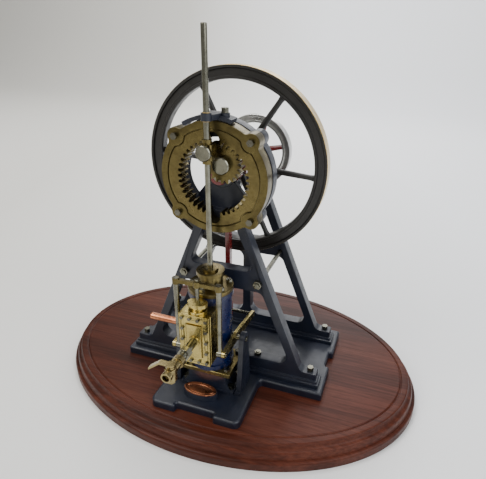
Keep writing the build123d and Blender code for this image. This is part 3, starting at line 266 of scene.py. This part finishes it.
# Finishes of single nodes that differ from the rest of their slot.
dark_brass = metal("dark_brass", (0.165, 0.132, 0.052), (0.068, 0.051, 0.023), 0.27, 0.50)
bronze = metal("toned_bronze", (0.37, 0.30, 0.145), (0.14, 0.105, 0.05), 0.20, 0.50)
# Painted shade: this is the bright steel darkened for the ring and chest bolts, standing in for the shade
# they sit in.
steel_with_painted_shade = metal("steel_with_painted_shade", (0.17, 0.165, 0.135), (0.075, 0.07, 0.055), 0.24, 0.48)
node_finishes = {
    "ring_housing": dark_brass, "valve_yoke": dark_brass, "rocker_levers": finishes["bright_brass"],
    "cock_body": bronze, "cock_lever": bronze, "cock_plug": bronze, "plug_nut": bronze,
    "ring_bolts": steel_with_painted_shade, "chest_bolts": steel_with_painted_shade,
}


# ---------------------------------------------------------------- edges of every piece
def smoothing_group():
    """Geometry nodes that leave only edges above SHARP_ANGLE unsmoothed."""
    group = bpy.data.node_groups.new("smooth_by_angle", "GeometryNodeTree")
    group.interface.new_socket("Geometry", in_out="INPUT", socket_type="NodeSocketGeometry")
    group.interface.new_socket("Geometry", in_out="OUTPUT", socket_type="NodeSocketGeometry")
    start = group.nodes.new("NodeGroupInput")
    end = group.nodes.new("NodeGroupOutput")
    faces = group.nodes.new("GeometryNodeSetShadeSmooth")
    faces.domain = "FACE"
    edges = group.nodes.new("GeometryNodeSetShadeSmooth")
    edges.domain = "EDGE"
    angle = group.nodes.new("GeometryNodeInputMeshEdgeAngle")
    sharper = group.nodes.new("FunctionNodeCompare")
    sharper.data_type = "FLOAT"
    sharper.operation = "LESS_EQUAL"
    sharper.inputs["B"].default_value = SHARP_ANGLE
    group.links.new(start.outputs[0], faces.inputs["Geometry"])
    group.links.new(faces.outputs[0], edges.inputs["Geometry"])
    group.links.new(angle.outputs["Unsigned Angle"], sharper.inputs["A"])
    group.links.new(sharper.outputs[0], edges.inputs["Shade Smooth"])
    group.links.new(edges.outputs[0], end.inputs[0])
    return group


smooth_by_angle = smoothing_group()


def soften(piece, width):
    """Welds the seams, rounds the edges by width and shades flats flat and curves smooth."""
    normals = piece.data.attributes.get("custom_normal")
    if normals:
        piece.data.attributes.remove(normals)
    piece.modifiers.new("weld", "WELD").merge_threshold = 1e-6
    if width:
        bevel = piece.modifiers.new("edges", "BEVEL")
        bevel.width = width
        bevel.segments = 2
        bevel.limit_method = "ANGLE"
        bevel.angle_limit = SHARP_ANGLE
        bevel.miter_outer = "MITER_ARC"
    piece.modifiers.new("shading", "NODES").node_group = smooth_by_angle
    weighted = piece.modifiers.new("normals", "WEIGHTED_NORMAL")
    weighted.keep_sharp = True


EDGE_WIDTHS = {
    "baseplate": 0.5, "front_frame": 0.9, "rear_frame": 0.9, "cylinder_pedestal": 0.6, "ring_housing": 0.5,
    "gear_ring": 0.22, "pinion": 0.22, "crank_web": 0.3, "cylinder": 0.3, "cylinder_cover": 0.3,
    "rod_guide_bracket": 0.5, "rocker_levers": 0.4, "rocker_brackets": 0.6, "crosshead": 0.3,
    "eccentric_rod": 0.4, "eccentric_strap": 0.4, "chest_bolts": 0.12, "valve_yoke": 0.45,
    "cock_lever": 0.6, "valve_chest": 0.3, "chest_cover": 0.3, "pedestal_plate": 0.3,
}
DEFAULT_EDGE = 0.25


def dress_cad_nodes():
    """Gives every CAD node its finish and soft edges."""
    slots = {row["node"]: row["material_slot"] for row in frame["record"]["subparts"]}
    for name, piece in nodes.items():
        piece.data.materials.clear()
        piece.data.materials.append(node_finishes.get(name, finishes[slots[name]]))
        soften(piece, EDGE_WIDTHS.get(name, DEFAULT_EDGE) * MM)


# ---------------------------------------------------------------- mesh pieces
def make_piece(name, points, faces, materials, face_finish=None):
    """Mesh piece from points in millimetres; face_finish gives each face's material index."""
    mesh = bpy.data.meshes.new(name)
    mesh.from_pydata([tuple(c * MM for c in p) for p in points], [], faces)
    for material in materials:
        mesh.materials.append(material)
    if face_finish:
        for polygon, index in zip(mesh.polygons, face_finish):
            polygon.material_index = index
    mesh.validate()
    mesh.update()
    piece = bpy.data.objects.new(name, mesh)
    bpy.context.scene.collection.objects.link(piece)
    soften(piece, 0)
    return piece


def strip_faces(rings, count):
    """Quads between consecutive closed rings of count points."""
    faces = []
    for ring in range(rings - 1):
        for k in range(count):
            a = ring * count + k
            b = ring * count + (k + 1) % count
            faces.append((a, b, b + count, a + count))
    return faces


def oval_stack(name, centre, half_x, half_y, courses, material):
    """Closed oval turning: courses are (inset, height) from the underside's edge to the top's middle."""
    count = 256
    points = []
    for inset, height in courses:
        for k in range(count):
            turn = 2 * pi * k / count
            x = centre[0] + (half_x - inset) * cos(turn)
            y = centre[1] + (half_y - inset) * sin(turn)
            points.append((x, y, height))
    faces = strip_faces(len(courses), count)
    faces.append(tuple(reversed(range(count))))
    faces.append(tuple(range((len(courses) - 1) * count, len(courses) * count)))
    return make_piece(name, points, faces, [material])


def turned(profile, centre, count=192):
    """Points and faces of a closed (radius, depth) profile turned about the crank axis line."""
    points = []
    for k in range(count):
        turn = 2 * pi * k / count
        for radius, depth in profile:
            x = centre[0] + radius * cos(turn)
            z = centre[2] + radius * sin(turn)
            points.append((x, centre[1] + depth, z))
    faces = []
    size = len(profile)
    for k in range(count):
        for j in range(size):
            a = k * size + j
            b = k * size + (j + 1) % size
            c = ((k + 1) % count) * size + (j + 1) % size
            d = ((k + 1) % count) * size + j
            faces.append((a, d, c, b))
    return points, faces


def oval_spoke(centre, angle, start, end, widths, half_thick):
    """Points and faces of one tapered oval spoke between two radii."""
    stations, count = 14, 20
    turn = radians(angle)
    along = (cos(turn), sin(turn))
    aside = (-sin(turn), cos(turn))
    points = []
    for s in range(stations):
        t = s / (stations - 1)
        radius = start + (end - start) * t
        flare = 1 + 0.3 * max(0.0, 1 - t * 7) ** 2 + 0.4 * max(0.0, 1 - (1 - t) * 9) ** 2
        half = (widths[0] + (widths[1] - widths[0]) * t) * flare
        for k in range(count):
            u = 2 * pi * k / count
            side = half * cos(u)
            depth = half_thick * sin(u)
            points.append((centre[0] + along[0] * radius + aside[0] * side, centre[1] + depth,
                           centre[2] + along[1] * radius + aside[1] * side))
    faces = strip_faces(stations, count)
    faces.append(tuple(reversed(range(count))))
    faces.append(tuple(range((stations - 1) * count, stations * count)))
    return points, faces


def joined(parts):
    """Joins (points, faces, finish) parts into one list of each."""
    points, faces, finishes_of = [], [], []
    for part_points, part_faces, finish in parts:
        base = len(points)
        points += part_points
        faces += [tuple(base + i for i in face) for face in part_faces]
        finishes_of += [finish] * len(part_faces) if isinstance(finish, int) else finish
    return points, faces, finishes_of


def wheel(name, node, sizes, spoke_angle, materials):
    """Spoked wheel in place of a CAD node: polished rim, painted sides, oval spokes and a hub."""
    low, high = (Vector(c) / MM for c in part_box(node))
    centre = ((low.x + high.x) / 2, (low.y + high.y) / 2, (low.z + high.z) / 2)
    outer = (high.x - low.x) / 2 - 0.01
    hub_half = (high.y - low.y) / 2
    inner, half, hub, shaft, widths, half_thick, edge, dish = sizes
    face = [(inner, 0.5 * half), (inner, half - 1.6), (inner + 0.6, half - 0.5), (inner + 1.6, half - 0.2),
            (inner + 2.5, half - 0.4), (inner + 3.3, half - 0.4 - dish), (outer - 3.2, half - 0.4 - dish),
            (outer - 2.4, half - 0.2), (outer - 1.6, half), (outer - edge, half),
            (outer - 0.4 * edge, half - 0.5 * edge), (outer, half - 1.4 * edge)]
    rim = [(radius, -depth) for radius, depth in face] + list(reversed(face))
    rim_points, rim_faces = turned(rim, centre)
    following = rim[1:] + rim[:1]
    tread = [min(start[0], end[0]) > outer - 1.01 * edge for start, end in zip(rim, following)]
    rim_finish = [1 if tread[k % len(rim)] else 0 for k in range(len(rim_faces))]
    hub_end = [(shaft, hub_half), (hub - 1.2, hub_half), (hub - 0.3, hub_half - 0.5), (hub, hub_half - 1.6)]
    hub_profile = [(radius, -depth) for radius, depth in hub_end] + list(reversed(hub_end))
    hub_points, hub_faces = turned(hub_profile, centre, 96)
    parts = [(rim_points, rim_faces, rim_finish), (hub_points, hub_faces, 2)]
    for k in range(SPOKES):
        angle = spoke_angle + 360 / SPOKES * k
        spoke = oval_spoke(centre, angle, hub - 1.5, inner + 1.2, widths, half_thick)
        parts.append((*spoke, 2))
    points, faces, face_finish = joined(parts)
    piece = make_piece(name, points, faces, materials, face_finish)
    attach(piece, "crank")
    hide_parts(node)
    return piece


def build_plinth():
    """Oval plinth with an ovolo and cove edge and a bead groove round its top."""
    low, high = (Vector(c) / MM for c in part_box("plinth"))
    foot = [(1.0, 0.0), (0.25, 0.3), (0.02, 1.0), (0.02, 7.6), (0.3, 8.8), (1.1, 9.7), (2.2, 10.1)]
    fillet_line = [(3.2, 10.3), (3.35, 10.7), (3.4, 11.6), (3.5, 12.1)]
    courses = foot + fillet_line
    for step in range(9):
        t = step / 8
        courses.append((3.7 + 1.9 * (1 - cos(t * pi / 2)), 12.4 + 5.4 * sin(t * pi / 2)))
    for step in range(1, 8):
        t = step / 7
        courses.append((5.6 + 3.0 * sin(t * pi / 2), 17.8 + 3.4 * (1 - cos(t * pi / 2))))
    top_edge = [(8.7, 21.6), (8.7, 22.8), (8.95, 23.5), (9.5, 23.9), (10.2, 24.0)]
    groove_outside = [(14.6, 24.0), (15.0, 23.75), (15.5, 23.1)]
    groove = groove_outside + [(16.1, 22.9), (16.7, 23.1), (17.2, 23.75), (17.6, 24.0)]
    top = [(40.0, 24.0), (80.0, 24.0), (120.0, 24.0)]
    courses += top_edge + groove + top
    piece = oval_stack("mahogany_plinth", (0, 0), (high.x - low.x) / 2, (high.y - low.y) / 2, courses,
                       finishes["mahogany"])
    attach(piece, "frame")
    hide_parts("plinth")


def build_name_plate():
    """Blank oval plate with a raised rim and a bead line."""
    low, high = (Vector(c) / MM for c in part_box("name_plate"))
    base = low.z
    rim = [(0.0, 0.0), (0.0, 1.1), (0.15, 1.4), (0.5, 1.5), (1.3, 1.5), (1.6, 1.35), (1.75, 0.95)]
    bead_and_middle = [(2.3, 0.9), (2.5, 1.15), (2.9, 1.15), (3.1, 0.9), (5.0, 0.95), (7.0, 1.0)]
    courses = [(inset, base + height) for inset, height in rim + bead_and_middle]
    piece = oval_stack("oval_plate", ((low.x + high.x) / 2, (low.y + high.y) / 2), (high.x - low.x) / 2,
                       (high.y - low.y) / 2, courses, finishes["copper"])
    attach(piece, "frame")
    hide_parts("name_plate")


dress_cad_nodes()
build_plinth()
build_name_plate()
flywheel_paint = enamel("flywheel_enamel", (0.0085, 0.0070, 0.0058), 0.40, 0.12)
red_spokes = enamel("spoke_red_enamel", (0.17, 0.014, 0.014), 0.24, 0.6, 0.25)
wheel("flywheel_wheel", "flywheel", (74.2, 6.0, 12.0, 5.0, (3.4, 2.3), 2.3, 0.25, 1.4), 55.5,
      [flywheel_paint, finishes["flywheel_brass"], flywheel_paint])
wheel("pulley_wheel", "drive_pulley", (28.5, 4.5, 9.5, 5.0, (3.2, 2.3), 2.0, 0.4, 0.3), 12.0,
      [finishes["pulley_metal"], finishes["pulley_metal"], red_spokes])

# ---------------------------------------------------------------- stage
def paper_sweep():
    """Floor that curves up far behind the engine, in one seamless sheet."""
    half_width, front, bend_start, bend, height = 6.0, -6.0, 1.9, 1.2, 4.0
    line = [(front, 0.0)]
    for step in range(25):
        turn = radians(90) * step / 24
        line.append((bend_start + bend * sin(turn), bend * (1 - cos(turn))))
    line.append((bend_start + bend, height))
    points = [(x, y, z) for y, z in line for x in (-half_width, half_width)]
    faces = [(2 * k, 2 * k + 1, 2 * k + 3, 2 * k + 2) for k in range(len(line) - 1)]
    mesh = bpy.data.meshes.new("floor")
    mesh.from_pydata(points, [], faces)
    mesh.materials.append(backdrop_paper_painted_light())
    for polygon in mesh.polygons:
        polygon.use_smooth = True
    sweep = bpy.data.objects.new("floor", mesh)
    bpy.context.scene.collection.objects.link(sweep)
    return sweep


floor = paper_sweep()
add_camera()
add_world()
add_area_light("key", (-0.9, -1.1, 1.5), 1.3, 29.0, (1.0, 0.98, 0.94))
add_area_light("fill", (1.4, -0.7, 1.0), 1.5, 22.0, (0.95, 0.97, 1.0))
add_area_light("back", (-0.3, 1.5, 1.3), 1.3, 9.0, (1.0, 1.0, 1.0))
add_area_light("backdrop", (-0.4, 0.9, 2.6), 1.6, 104.0, (1.0, 1.0, 1.0), (-0.9, 3.1, 0.6))
